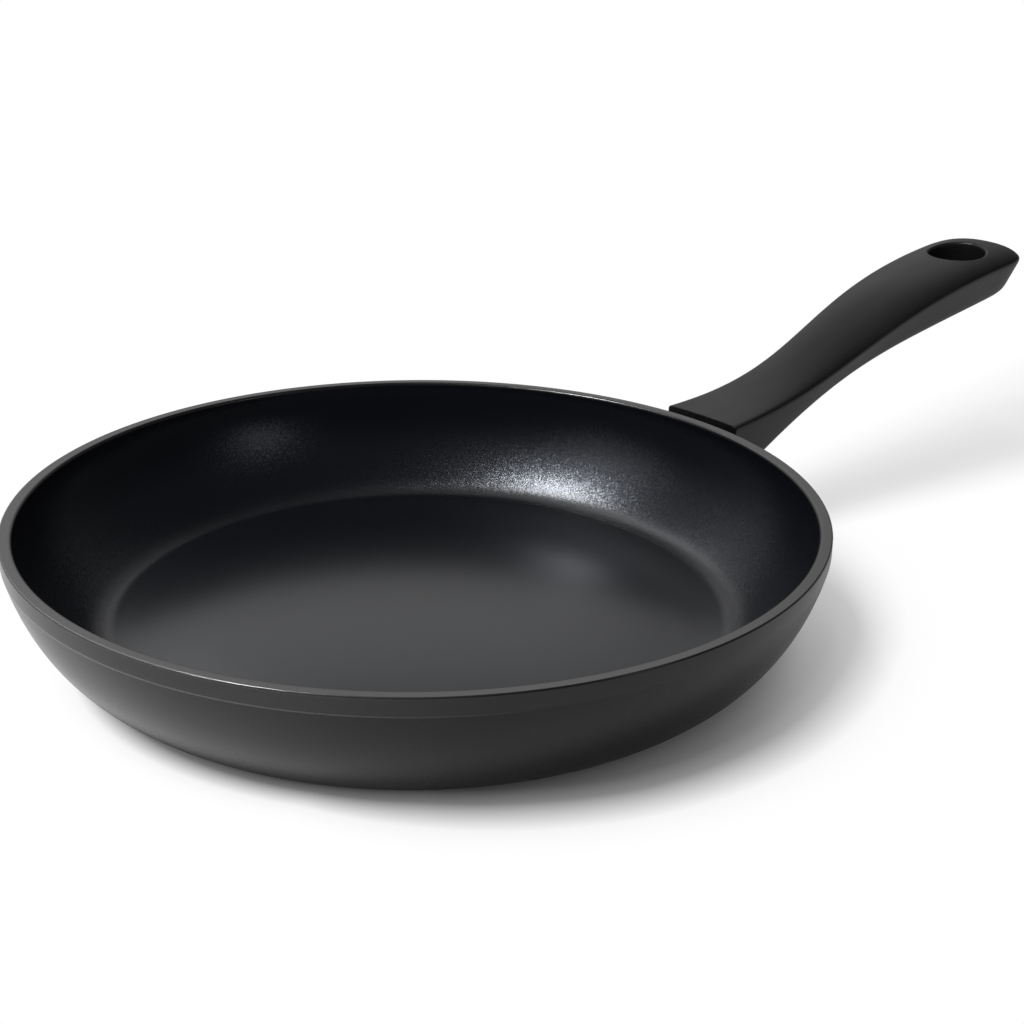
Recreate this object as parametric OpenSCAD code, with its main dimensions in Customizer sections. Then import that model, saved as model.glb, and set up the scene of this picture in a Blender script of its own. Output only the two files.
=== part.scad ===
// Cast frying pan with a moulded handle. Millimetres. The origin is the centre of the underside,
// Z points up out of the bowl and X points along the handle.

/* [Pan body] */
// Outside diameter over the rim
rim_d = 280; // [262:1:340]
// Height from the underside to the flat rim
pan_h = 47.5; // [46:0.5:70]
// Diameter of the flat underside
base_d = 213; // [196:1:226]
// Diameter of the flat cooking floor
floor_d = 219; // [204:1:232]
// Thickness of the base under the cooking floor
base_t = 7.6; // [5:0.1:12]
// Width of the flat rim
rim_w = 4.5; // [3:0.1:7]
// Radius on the two edges of the rim
rim_round = 0.6; // [0.3:0.1:1.2]
// Height of the plain band under the rim
band_h = 7.2; // [3:0.1:9]
// How far the wall steps in below the band
band_step = 0.2; // [0.1:0.05:1.2]
// Slope of the outer wall where it leaves the underside, in degrees
heel_angle = 18; // [10:1:35]
// Slope of the outer wall where it meets the band, in degrees
wall_angle = 72; // [62:1:84]
// Slope of the inner wall where it leaves the floor, in degrees
floor_angle = 33.5; // [20:0.5:42]
// Slope of the inner wall at the mouth, in degrees
mouth_angle = 84; // [72:1:87]

/* [Non-stick lining] */
// Thickness of the bonded lining, shown thicker than the real coat so that it is a solid
lining_t = 0.3; // [0.2:0.05:0.6]

/* [Induction plate] */
// Diameter of the steel plate in the underside
plate_d = 186; // [176:1:194]
// Thickness of the steel plate
plate_t = 0.8; // [0.5:0.1:1.5]
// Diameter of the holes that the body metal fills
dot_d = 7; // [4:0.5:9]
// Radius of the innermost ring of holes
dot_ring_r = 27; // [20:1:32]
// Distance from the outermost ring of holes to the edge of the plate
dot_edge = 10; // [6:0.5:14]
// Number of rings of holes
dot_rings = 5; // [2:1:5]
// Holes in the innermost ring
dot_count = 12; // [8:1:14]
// Holes added on each further ring
dot_count_step = 6; // [4:1:6]

/* [Handle] */
// Length of the handle beyond the rim
grip_len = 197.8; // [170:0.1:240]
// Rise of the top edge from the rim to the tip
grip_rise = 39.4; // [20:0.1:70]
// How far the top edges stand above the rim at the root, or below it if negative
grip_proud = -0.2; // [-2:0.1:4]
// Width at the root, beside the rim
root_w = 37; // [32:0.1:46]
// Width at the neck, the narrowest place
neck_w = 33.8; // [28:0.1:38]
// Width at the palm end
palm_w = 45.3; // [38:0.1:52]
// Depth of the side at the root
root_depth = 32.7; // [30:0.1:36]
// Depth of the side at the neck
neck_depth = 13.7; // [12:0.1:16]
// Depth of the side at the palm end
palm_depth = 16.8; // [14:0.1:22]
// Height of the crowned top above its edges at the root
root_crown = 0.5; // [0.3:0.1:3]
// Height of the crowned top above its edges at the palm end
palm_crown = 4.8; // [2:0.1:8]
// How far the middle of the underside bulges
belly = 1; // [0.3:0.1:2]
// Radius of the soft shoulder between the top and the side
shoulder_r = 2.2; // [1:0.1:3]
// Radius of the edge between the side and the underside
keel_r = 4; // [2:0.1:6]
// Length of the rounded end, seen from above
end_len = 17.7; // [14:0.5:24]
// Gap between the handle and the pan wall
root_gap = 5; // [1:0.1:6]

/* [Hanging hole] */
// Diameter of the hanging hole
hang_d = 24.6; // [12:0.5:27]
// Distance from the centre of the hole to the tip of the handle
hang_back = 28.8; // [27:0.5:36]
// Tilt of the hole, square to the top face, in degrees
hang_tilt = 5; // [0:0.5:12]

/* [Lug and screw] */
// Width of the cast lug where it leaves the wall
lug_w = 22; // [18:0.5:24]
// Width of the cast lug at its end
lug_tip_w = 18; // [14:0.5:19]
// Thickness of the cast lug
lug_t = 10; // [8.5:0.1:10.5]
// Length of the lug beyond the rim
lug_len = 36; // [32:0.5:37]
// Depth of the lug's top face below the rim
lug_drop = 2.5; // [2.2:0.1:3.5]
// Distance from the rim to the axis of the screw
screw_back = 22; // [18:0.5:24]
// Diameter of the screw
screw_d = 5; // [4:0.5:5]
// Length of the screw under its head
screw_len = 15.5; // [12:0.5:16]
// Diameter of the screw head
head_d = 9.5; // [8.5:0.1:9.8]
// Height of the screw head
head_h = 2.8; // [2.2:0.1:3.2]
// Width across the flats of the driver socket in the head
driver_af = 3; // [2.5:0.5:4]
// Depth of the driver socket
driver_depth = 1.8; // [1.2:0.1:2]
// Outside diameter of the flat washer
washer_d = 10; // [9.2:0.1:10.4]
// Thickness of the flat washer
washer_t = 1; // [0.6:0.1:1.2]
// Outside diameter of the spring washer
spring_d = 9.2; // [8:0.1:9.8]
// Thickness of the spring washer
spring_t = 1.2; // [0.8:0.1:1.4]
// Width of the slit in the spring washer
spring_slit = 0.8; // [0.5:0.1:1.2]
// Outside diameter of the threaded insert in the lug
insert_d = 7; // [6.5:0.1:9]
// Length of the threaded insert
insert_len = 8; // [5:0.5:8]
// Thickness of the handle under the lug, where the washers seat
seat_t = 4; // [3:0.1:4.5]
// Clearance of the socket round the lug
socket_gap = 0.25; // [0.1:0.05:0.5]
// Clearance round the screw, the washers and the insert
fit_gap = 0.05; // [0.02:0.01:0.1]
// Clearance between the flat washer and its pocket
pocket_gap = 0.5; // [0.3:0.1:0.8]

/* [Hidden] */

$fn = 96;
// Cuts run this far past the faces that they open
overrun = 1;
// How far the two ends of each wall curve pull, as shares of the curve's chord
outer_pull_shares = [0.40, 0.32];
inner_pull_shares = [0.31, 0.25];
// Points along one wall curve, and along one rounded edge
curve_steps = 22;
edge_steps = 4;
// Where the two middle controls of the handle's lines lie, as shares of its length
stem_shares = [0.42, 0.42];
// Heights of the two middle controls of the top line, as shares of the rise
rise_shares = [0.037, 0.872];
// Curve parameter at which the neck's width and depth hold
neck_share = 0.3;
// Pull of the palm's width and depth, as shares of their values at the tip
palm_width_share = 1.042;
palm_depth_share = 1.59;
// Width of the underside, as a share of the width at the shoulders
keel_share = 0.62;
// Exponent of the crowned top: above 2 the top is flatter in the middle than a parabola
crown_power = 3;
// How far the end's underside is cut back, as a share of the depth
end_lift_share = 0.33;
// Exponent of the end's outline: below 1 the end is blunter than an ellipse
end_power = 0.82;
// Points across half of the crown, round the shoulder and round the edge of the underside
crown_steps = 5;
shoulder_steps = 3;
keel_steps = 4;
// Stations along the handle's stem and round its end
stem_steps = 24;
end_steps = 9;
// The last station round the end stops short of the tip by this many degrees
end_stop = 4;

rim_r = rim_d / 2;
mouth_r = rim_r - rim_w;
base_r = base_d / 2;
floor_r = floor_d / 2;
band_z = pan_h - band_h;
wall_r = rim_r - band_step;
grip_x = rim_r + root_gap;
tip_x = rim_r + root_gap + grip_len;
lug_z = pan_h - lug_drop - lug_t;
screw_x = rim_r + screw_back;
seat_z = lug_z - seat_t;
head_z = seat_z - washer_t - spring_t;
dot_ring_pitch = (plate_d / 2 - dot_edge - dot_ring_r) / max(dot_rings - 1, 1);
hang_x = tip_x - hang_back;

function polar(r, a) = r * [cos(a), sin(a)];

function bezier(a, b, c, d, t) =
    pow(1 - t, 3) * a + 3 * pow(1 - t, 2) * t * b + 3 * (1 - t) * pow(t, 2) * c + pow(t, 3) * d;

// A wall curve from p to q that leaves at one slope, arrives at another and has the given pulls
function wall_curve(p, leave, q, arrive, pulls) =
    let (chord = norm(q - p))
    [for (i = [0 : curve_steps])
        bezier(p, p + polar(pulls[0] * chord, leave), q - polar(pulls[1] * chord, arrive), q,
            i / curve_steps)];

// A rounded edge about a centre, from one angle to another
function edge_arc(centre, r, from, to) =
    [for (i = [0 : edge_steps]) centre + polar(r, from + (to - from) * i / edge_steps)];

// The outside of the pan, grown outwards by g, from the underside up to the band
function outer_curve(g) =
    wall_curve([base_r + g, 0], heel_angle, [wall_r + g, band_z], wall_angle, outer_pull_shares);

// The inside of the pan, grown into the metal by g, from the floor up to the mouth
function inner_curve(g) =
    wall_curve([floor_r, base_t - g], floor_angle, [mouth_r + g, pan_h - rim_round], mouth_angle,
        inner_pull_shares);

module turned(points) {
    rotate_extrude() polygon(points);
}

// The solid form of the pan, without its bowl
module pan_blank() {
    turned(concat(
        [[0, 0]],
        outer_curve(0),
        [[rim_r, band_z + band_step]],
        edge_arc([rim_r - rim_round, pan_h - rim_round], rim_round, 0, 90),
        [[0, pan_h]]));
}

// The bowl that is taken out of the blank, with the lining's thickness included
module bowl_space() {
    turned(concat(
        [[0, base_t - lining_t]],
        inner_curve(lining_t),
        [[mouth_r + lining_t, pan_h - rim_round]],
        edge_arc([mouth_r + rim_round, pan_h - rim_round], rim_round, 180, 90),
        [[mouth_r + rim_round, pan_h + overrun], [0, pan_h + overrun]]));
}

// Outline of the lug from above, grown by g on its sides and end
module lug_plan(g) {
    corner_r = lug_tip_w / 4;
    end_x = rim_r + lug_len + g;
    half = lug_tip_w / 2 + g;
    polygon([
        [mouth_r - rim_w, -lug_w / 2 - g], [rim_r, -lug_w / 2 - g],
        [end_x - corner_r, -half], [end_x, corner_r - half],
        [end_x, half - corner_r], [end_x - corner_r, half],
        [rim_r, lug_w / 2 + g], [mouth_r - rim_w, lug_w / 2 + g]]);
}

module lug_blank() {
    translate([0, 0, lug_z]) linear_extrude(lug_t) lug_plan(0);
}

// Copies its children at each hole of the induction plate
module at_dots() {
    for (ring = [0 : dot_rings - 1]) {
        count = dot_count + ring * dot_count_step;
        for (i = [0 : count - 1])
            rotate(360 * (i + ring / 2) / count)
                translate([dot_ring_r + ring * dot_ring_pitch, 0, 0]) children();
    }
}

module pan_body() {
    color("#343436") difference() {
        union() {
            difference() {
                union() {
                    pan_blank();
                    lug_blank();
                }
                translate([0, 0, -overrun]) cylinder(h = overrun + plate_t, d = plate_d);
            }
            at_dots() cylinder(h = plate_t, d = dot_d, $fn = 24);
        }
        bowl_space();
        translate([screw_x, 0, lug_z - overrun]) cylinder(h = lug_t + 2 * overrun, d = insert_d);
    }
}

module nonstick_lining() {
    color("#17181b") turned(concat(
        [[0, base_t]], inner_curve(0),
        [for (i = [curve_steps : -1 : 0]) inner_curve(lining_t)[i]],
        [[0, base_t - lining_t]]));
}

module induction_plate() {
    color("#9a9c9e") difference() {
        cylinder(h = plate_t, d = plate_d);
        translate([0, 0, -overrun]) at_dots()
            cylinder(h = plate_t + 2 * overrun, d = dot_d, $fn = 24);
    }
}

// The middle control of a handle line that has the value v at the neck
function neck_control(root, v, palm, tip) =
    let (t = neck_share, s = 1 - neck_share)
    (v - pow(s, 3) * root - 3 * s * t * t * palm - pow(t, 3) * tip) / (3 * s * s * t);

function stem_x(t) =
    bezier(grip_x, grip_x + stem_shares[0] * grip_len, grip_x + stem_shares[1] * grip_len, tip_x, t);

// The curve parameter at which the stem reaches x
function stem_t(x, low = -0.2, high = 1, steps = 24) =
    let (mid = (low + high) / 2)
    steps == 0 ? mid
        : stem_x(mid) > x ? stem_t(x, low, mid, steps - 1) : stem_t(x, mid, high, steps - 1);

function top_line(t) =
    let (z = pan_h + grip_proud)
    bezier(z, z + rise_shares[0] * grip_rise, z + rise_shares[1] * grip_rise, z + grip_rise, t);

function half_width(t) =
    let (palm = palm_width_share * palm_w)
    bezier(root_w, neck_control(root_w, neck_w, palm, palm_w), palm, palm_w, t) / 2;

function side_depth(t) =
    let (palm = palm_depth_share * palm_depth)
    bezier(root_depth, neck_control(root_depth, neck_depth, palm, palm_depth), palm, palm_depth, t);

function crown(t) = root_crown + (palm_crown - root_crown) * t;

// A rounded corner at p between the directions of a and b
function corner(p, a, b, r, steps) =
    let (from = p + r * (a - p) / norm(a - p), to = p + r * (b - p) / norm(b - p))
    [for (i = [0 : steps])
        let (t = i / steps) pow(1 - t, 2) * from + 2 * (1 - t) * t * p + pow(t, 2) * to];

// Half of the handle's section, from the middle of the top round to the middle of the underside.
// Half width w, crown c, depth d, with its zero height at the shoulder.
function half_section(w, c, d) =
    let (
        shoulder = [w, 0],
        keel = [keel_share * w, -d],
        shoulder_soft = min(shoulder_r, w / 2),
        keel_soft = min(keel_r, keel_share * w / 2, d / 2),
        crown_from = w - shoulder_soft,
        crown_z = c * (1 - pow(crown_from / w, crown_power)))
    concat(
        [for (i = [0 : crown_steps])
            let (y = crown_from * i / crown_steps) [y, c * (1 - pow(y / w, crown_power))]],
        corner(shoulder, [crown_from, crown_z], keel, shoulder_soft, shoulder_steps),
        corner(keel, shoulder, [0, -d], keel_soft, keel_steps),
        [[keel_share * w / 3, -d - belly * w / half_width(1)], [0, -d - belly * w / half_width(1)]]);

// One closed section of the handle at x, with its width shrunk by f and its underside lifted
function section(x, f) =
    let (
        t = max(stem_t(x), 0),
        lift = end_lift_share * (1 - f),
        half = half_section(half_width(t) * f, crown(t) * f, side_depth(t) * (1 - lift)),
        last = len(half) - 1,
        z = top_line(t) - crown(t) * (1 - f) / 2)
    concat(
        [for (p = half) [x, p[0], z + p[1]]],
        [for (i = [last - 1 : -1 : 1]) [x, -half[i][0], z + half[i][1]]]);

// The full form of the handle, from inside the pan wall to the rounded tip
module grip_blank() {
    start_x = floor_r;
    bend_x = tip_x - end_len;
    rings = concat(
        [for (i = [0 : stem_steps]) section(start_x + (bend_x - start_x) * i / stem_steps, 1)],
        [for (i = [1 : end_steps])
            let (a = (90 - end_stop) * i / end_steps)
            section(bend_x + end_len * pow(sin(a), end_power), pow(cos(a), end_power))]);
    n = len(rings[0]);
    last = len(rings) - 1;
    polyhedron(
        points = [for (r = rings) for (p = r) p],
        faces = concat(
            [[for (i = [0 : n - 1]) i]],
            [for (k = [0 : last - 1]) for (i = [0 : n - 1])
                let (j = (i + 1) % n) [k * n + i, (k + 1) * n + i, (k + 1) * n + j]],
            [for (k = [0 : last - 1]) for (i = [0 : n - 1])
                let (j = (i + 1) % n) [k * n + i, (k + 1) * n + j, k * n + j]],
            [[for (i = [n - 1 : -1 : 0]) last * n + i]]));
}

// The space that the handle keeps clear: the pan wall's own slope, set back by the gap and
// carried straight across the handle
module wall_clearance() {
    rotate([90, 0, 0]) linear_extrude(2 * root_w, center = true) polygon(concat(
        [[0, -pan_h], [base_r + root_gap, -pan_h]],
        outer_curve(root_gap),
        [[rim_r + root_gap, band_z + band_step],
         [rim_r + root_gap, 2 * pan_h], [0, 2 * pan_h]]));
}

module handle_grip() {
    hang_z = top_line(stem_t(hang_x));
    color("#262627") difference() {
        grip_blank();
        wall_clearance();
        translate([0, 0, lug_z]) linear_extrude(lug_t + socket_gap) lug_plan(socket_gap);
        translate([screw_x, 0, seat_z - overrun])
            cylinder(h = lug_z - seat_z + 2 * overrun, d = screw_d + 2 * socket_gap);
        translate([screw_x, 0, 0]) cylinder(h = seat_z, d = washer_d + 2 * pocket_gap);
        translate([hang_x, 0, hang_z]) rotate([0, -hang_tilt, 0])
            cylinder(h = 4 * palm_depth, d = hang_d, center = true);
    }
}

module thread_insert() {
    color("#b9a468") translate([screw_x, 0, lug_z]) difference() {
        cylinder(h = insert_len, d = insert_d - 2 * fit_gap);
        translate([0, 0, -overrun])
            cylinder(h = insert_len + 2 * overrun, d = screw_d + 2 * fit_gap);
    }
}

module handle_screw() {
    color("#b5b7b9") translate([screw_x, 0, head_z]) difference() {
        union() {
            cylinder(h = screw_len, d = screw_d);
            translate([0, 0, -head_h]) cylinder(h = head_h, d = head_d);
        }
        translate([0, 0, -head_h - overrun])
            cylinder(h = driver_depth + overrun, d = driver_af / cos(30), $fn = 6);
    }
}

module spring_washer() {
    color("#8f9193") translate([screw_x, 0, head_z]) difference() {
        cylinder(h = spring_t, d = spring_d);
        translate([0, 0, -overrun])
            cylinder(h = spring_t + 2 * overrun, d = screw_d + 2 * fit_gap);
        translate([0, -spring_slit / 2, -overrun])
            cube([spring_d, spring_slit, spring_t + 2 * overrun]);
    }
}

module flat_washer() {
    color("#b5b7b9") translate([screw_x, 0, head_z + spring_t]) difference() {
        cylinder(h = washer_t, d = washer_d);
        translate([0, 0, -overrun])
            cylinder(h = washer_t + 2 * overrun, d = screw_d + 2 * fit_gap);
    }
}

pan_body();
nonstick_lining();
induction_plate();
handle_grip();
thread_insert();
handle_screw();
spring_washer();
flat_washer();
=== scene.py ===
"""Cast frying pan with a moulded handle: its looks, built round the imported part, and its studio.

Everything is in metres, in the part's frame: the origin is the centre of the underside, +X runs along the
handle and +Z points up out of the bowl.
"""

import math

import bmesh
import bpy
from bpy.props import FloatProperty, FloatVectorProperty, IntProperty, PointerProperty
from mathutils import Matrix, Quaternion, Vector


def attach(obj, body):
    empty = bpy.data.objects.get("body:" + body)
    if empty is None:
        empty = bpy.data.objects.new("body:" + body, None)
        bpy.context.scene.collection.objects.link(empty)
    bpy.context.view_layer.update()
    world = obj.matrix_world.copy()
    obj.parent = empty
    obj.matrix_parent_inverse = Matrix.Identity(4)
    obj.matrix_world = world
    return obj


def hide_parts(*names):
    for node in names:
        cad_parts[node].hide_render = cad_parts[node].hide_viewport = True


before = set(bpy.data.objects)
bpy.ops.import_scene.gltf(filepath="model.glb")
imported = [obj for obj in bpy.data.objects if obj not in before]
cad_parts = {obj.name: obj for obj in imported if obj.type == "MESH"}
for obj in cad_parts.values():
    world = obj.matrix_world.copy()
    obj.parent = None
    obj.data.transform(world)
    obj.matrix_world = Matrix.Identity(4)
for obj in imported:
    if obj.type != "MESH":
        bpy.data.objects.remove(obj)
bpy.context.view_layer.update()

bl_info = {
    "name": "Cast Frying Pan",
    "version": (1, 0, 0),
    "blender": (4, 5, 0),
    "location": "View3D > Sidebar > Frying Pan",
    "description": "Frying pan: cast body, non-stick lining, base plate, moulded handle, fixings and studio",
    "category": "Object",
}

# Distance from a turned edge to the line beside it, which keeps the shading there flat
EDGE_LINE = 0.0003
# Faces round the large turned pieces, points along each of their walls, and points along the floor's cove
TURN_STEPS = 192
WALL_STEPS = 40
COVE_STEPS = 10
# How far the two ends of each wall curve pull, as shares of the curve's chord
OUTER_PULLS = 0.40, 0.32
INNER_PULLS = 0.31, 0.25
# How far a cutter runs past the faces that it opens
OVERRUN = 0.001


def size(name, text, default, low=0.0):
    """A length that the user can change, in metres."""
    return FloatProperty(name=name, description=text, default=default, min=low, precision=5, unit="LENGTH",
                         subtype="DISTANCE")


def share(name, text, default):
    """A plain number between 0 and 1."""
    return FloatProperty(name=name, description=text, default=default, min=0.0, max=1.0)


def angle(name, text, degrees):
    """An angle, shown in degrees."""
    return FloatProperty(name=name, description=text, default=math.radians(degrees), subtype="ANGLE")


def colour(name, text, default):
    """A linear colour."""
    return FloatVectorProperty(name=name, description=text, default=default, min=0.0, max=1.0, size=3,
                               subtype="COLOR")


def power(name, text, watts):
    """The power of a lamp."""
    return FloatProperty(name=name, description=text, default=watts, min=0.0, unit="POWER")


def position(name, text, default):
    """A place in the studio."""
    return FloatVectorProperty(name=name, description=text, default=default, precision=5, unit="LENGTH")


def direction(name, text, default):
    """A direction in the studio."""
    return FloatVectorProperty(name=name, description=text, default=default, precision=5, subtype="DIRECTION")


class PanSizes(bpy.types.PropertyGroup):
    """Sizes and colours of the cast pan, its lining and its base"""

    rim_radius: size("Rim radius", "Outside radius over the rim", 0.14)
    height: size("Height", "From the underside to the flat rim", 0.0475)
    base_radius: size("Base radius", "Radius of the flat underside", 0.1065)
    floor_radius: size("Floor radius", "Radius of the flat cooking floor", 0.1095)
    base_thickness: size("Base thickness", "Height of the cooking floor above the underside", 0.0076)
    rim_width: size("Rim width", "Width of the flat rim with its rounded edges", 0.0045)
    rim_round: size("Rim rounding", "Radius on the rim's outer edge", 0.0006)
    mouth_round: size("Mouth rounding", "Radius on the rim's inner edge", 0.0012)
    band_height: size("Band height", "Plain band under the rim", 0.0062)
    band_step: size("Band step", "How far the wall's edge stands in from the rim", 0.0002)
    heel_angle: angle("Heel slope", "Slope of the outer wall where it leaves the underside", 18)
    wall_angle: angle("Wall slope", "Slope of the outer wall where it meets the band", 76)
    floor_angle: angle("Cove slope", "Slope of the inner wall's curve where it starts at the floor", 33.5)
    cove: size("Cove", "Reach of the soft cove at the edge of the floor", 0.005)
    mouth_angle: angle("Mouth slope", "Slope of the inner wall at the mouth", 84)
    lining_thickness: size("Lining thickness", "Bonded coat, as thick as its solid", 0.0003)
    plate_radius: size("Plate radius", "Radius of the steel plate in the underside", 0.093)
    plate_thickness: size("Plate thickness", "Thickness of the steel plate", 0.0008)
    dot_radius: size("Dot radius", "Radius of the plate's holes, which the cast metal fills", 0.0035)
    dot_ring_radius: size("First ring", "Radius of the innermost ring of holes", 0.027)
    dot_ring_pitch: size("Ring pitch", "From one ring of holes to the next", 0.014)
    dot_rings: IntProperty(name="Rings", description="Number of rings of holes", default=5, min=1)
    dot_count: IntProperty(name="First count", description="Holes in the innermost ring", default=12, min=3)
    dot_count_step: IntProperty(name="Count step", description="Holes added on each further ring", default=6,
                                min=0)
    enamel_colour: colour("Enamel", "Satin black finish of the outside", (0.0058, 0.0055, 0.0068))
    # The two values below paint a glint: a lighter tone on the band's lower edge and the rim's outer edge,
    # strongest on the side towards the lamps
    glint_colour: colour("Painted edge glint", "Lighter tone of the rubbed edges", (0.150, 0.150, 0.158))
    glint_way: direction("Painted glint side", "The side on which the edges are rubbed most", (-0.866, 0.5, 0.0))
    lining_colour: colour("Lining", "Blue-black of the non-stick coat", (0.0026, 0.0030, 0.0048))
    steel_colour: colour("Steel", "Base plate and fastenings", (0.42, 0.42, 0.43))
    metal_colour: colour("Cast metal", "Bare aluminium of the dots", (0.62, 0.62, 0.63))


class HandleSizes(bpy.types.PropertyGroup):
    """Sizes and colour of the moulded handle and its hanging hole"""

    length: size("Length", "Length of the handle beyond the gap at the rim", 0.1978)
    rise: size("Rise", "Rise of the top edges from root to tip", 0.0394)
    proud: size("Proud", "Top edges above the rim at the root", -0.0002, low=-0.01)
    root_width: size("Root width", "Width beside the rim", 0.037)
    neck_width: size("Neck width", "Width at the neck", 0.0338)
    palm_width: size("Palm width", "Width at the palm end", 0.0453)
    root_depth: size("Root depth", "Depth of the side at the root", 0.0327)
    neck_depth: size("Neck depth", "Depth of the side at the neck", 0.0137)
    palm_depth: size("Palm depth", "Depth of the side at the palm end", 0.0168)
    root_crown: size("Root crown", "Height of the crowned top at the root", 0.0005)
    palm_crown: size("Palm crown", "Height of the crowned top at the palm end", 0.0048)
    belly: size("Belly", "Bulge of the middle of the underside", 0.001)
    shoulder: size("Shoulder", "Spacing of the points that round the shoulder", 0.0033)
    keel: size("Keel", "Spacing of the points that round the lower edge", 0.0056)
    keel_share: share("Keel share", "Width of the underside over the width at the shoulders", 0.62)
    end_length: size("End length", "Length of the rounded end", 0.0177)
    end_lift: share("End lift", "How far the end's underside is cut back, as a share of the depth", 0.33)
    end_power: share("End power", "Exponent of the end's outline", 0.82)
    root_gap: size("Root gap", "Gap between the handle and the pan wall", 0.005)
    hole_radius: size("Hole radius", "Radius of the hanging hole", 0.0123)
    hole_back: size("Hole back", "From the hole's centre to the tip", 0.0288)
    hole_tilt: angle("Hole tilt", "Tilt of the hole, square to the top", 5)
    hole_lip: size("Hole lip", "Rounding of the hole's edges", 0.0013)
    resin_colour: colour("Resin", "Matt black moulding", (0.0058, 0.0058, 0.0060))


class FixingSizes(bpy.types.PropertyGroup):
    """Sizes of the lug and of the holes that the screw goes through"""

    lug_width: size("Lug width", "Width of the cast lug at the wall", 0.022)
    lug_tip_width: size("Lug end width", "Width of the cast lug at its end", 0.018)
    lug_thickness: size("Lug thickness", "Thickness of the cast lug", 0.01)
    lug_length: size("Lug length", "Length of the lug beyond the rim", 0.036)
    lug_drop: size("Lug drop", "Depth of the lug's top below the rim", 0.0025)
    screw_back: size("Screw place", "From the rim to the screw's axis", 0.022)
    screw_radius: size("Screw radius", "Radius of the screw", 0.0025)
    insert_radius: size("Insert radius", "Radius of the threaded insert", 0.0035)
    washer_radius: size("Washer radius", "Radius of the flat washer", 0.005)
    seat: size("Seat", "Thickness of the handle under the lug", 0.004)
    socket_gap: size("Socket gap", "Clearance of the socket round the lug", 0.00025)
    pocket_gap: size("Pocket gap", "Clearance of the pocket round the washer", 0.0005)
    brass_colour: colour("Brass", "Threaded insert", (0.55, 0.42, 0.18))


class StudioSettings(bpy.types.PropertyGroup):
    """Camera, floor, room and lights"""

    lens: FloatProperty(name="Lens", description="Focal length on a 36 mm frame", default=60.0, unit="CAMERA")
    camera_place: position("Camera place", "Where the camera stands", (-0.34670, -0.42085, 0.26594))
    camera_aim: direction("Camera aim", "Where the camera looks", (0.62953, 0.67983, -0.37619))
    camera_roll: angle("Camera roll", "Turn of the camera about its own line of sight", 0.858)
    key_place: position("Key place", "Where the large softbox stands", (-0.460, 0.339, 1.111))
    key_size: size("Key size", "Side of the large softbox", 0.62)
    key_power: power("Key power", "Power of the large softbox, which only lights matt surfaces", 12.0)
    glint_place: position("Glint place", "Where its bright middle stands", (-0.404, 0.340, 1.108))
    glint_size: size("Glint size", "Side of the bright middle, and of the weak lamp", 0.20)
    glint_power: power("Glint power", "Power of the bright middle, which only highlights show", 11.6)
    strip_place: position("Strip place", "Where the strip lamp beyond the pan stands", (0.12, 0.81, 0.97))
    strip_width: size("Strip width", "Width of the strip lamp", 0.36)
    strip_height: size("Strip height", "Height of the strip lamp", 0.70)
    strip_power: power("Strip power", "Power of the strip lamp, which only highlights show", 1.7)
    panel_place: position("Panel place", "Where the dim panel beside the pan stands", (-0.786, 0.453, 0.83))
    panel_width: size("Panel width", "Width of the dim panel", 0.65)
    panel_height: size("Panel height", "Height of the dim panel", 0.42)
    panel_power: power("Panel power", "Power of the dim panel, which only highlights show", 0.85)
    spot_place: position("Weak lamp place", "Where the weak lamp stands", (0.358, -0.934, 0.750))
    spot_power: power("Weak lamp power", "Power of the weak lamp, which only highlights show", 0.4)
    backdrop_way: direction("Backdrop", "The direction that the lit backdrop stands in", (0.391, 0.921, 0.0))
    world_level: share("Room level", "Strength of the room's soft light", 0.42)
    ceiling_level: share("Ceiling level", "Brightness of the unlit ceiling in highlights", 0.06)
    floor_colour: colour("Floor", "White of the floor", (0.9, 0.9, 0.9))
    front_way: direction("Front", "Where the directions round the shadow count from", (-0.342, -0.940, 0.0))
    shadow_way: direction("Handle's shadow", "Where the handle's shadow lies", (0.9986, -0.0523, 0.0))


def settings(context):
    """The sizes of the pan, of the handle and of the fixings, and the studio's settings."""
    scene = context.scene
    return scene.pan_sizes, scene.handle_sizes, scene.fixing_sizes, scene.studio_settings


# Modelling helpers

def lay_aside():
    """Leaves object mode with nothing selected."""
    if bpy.context.object and bpy.context.object.mode != "OBJECT":
        bpy.ops.object.mode_set(mode="OBJECT")
    bpy.ops.object.select_all(action="DESELECT")


def name_piece(name):
    """Names the piece that was just added."""
    piece = bpy.context.object
    piece.name = piece.data.name = name
    return piece


def first_point(name, place):
    """Starts a piece from one vertex, in edit mode: a small plane that is merged to its centre and moved."""
    lay_aside()
    bpy.ops.mesh.primitive_plane_add(size=0.01, location=(0, 0, 0))
    piece = name_piece(name)
    bpy.ops.object.mode_set(mode="EDIT")
    bpy.ops.mesh.select_mode(type="VERT")
    bpy.ops.mesh.select_all(action="SELECT")
    bpy.ops.mesh.merge(type="CENTER")
    bpy.ops.transform.translate(value=place)
    return piece


def draw_on(points):
    """Extrudes the selected end vertex through further points; the first one is where it stands."""
    for a, b in zip(points, points[1:]):
        bpy.ops.mesh.extrude_vertices_move(TRANSFORM_OT_translate={"value": Vector(b) - Vector(a)})


def turn(name, profile, steps):
    """A turned piece: the profile, as (radius, height) pairs, is drawn and spun about the Z axis."""
    points = [Vector((r, 0, z)) for r, z in profile]
    piece = first_point(name, points[0])
    draw_on(points)
    bpy.ops.mesh.select_all(action="SELECT")
    bpy.ops.mesh.spin(steps=steps, dupli=False, angle=2 * math.pi, center=(0, 0, 0), axis=(0, 0, 1))
    bpy.ops.mesh.select_all(action="SELECT")
    bpy.ops.mesh.remove_doubles(threshold=1e-6)
    bpy.ops.mesh.normals_make_consistent(inside=False)
    bpy.ops.object.mode_set(mode="OBJECT")
    return piece


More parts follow.
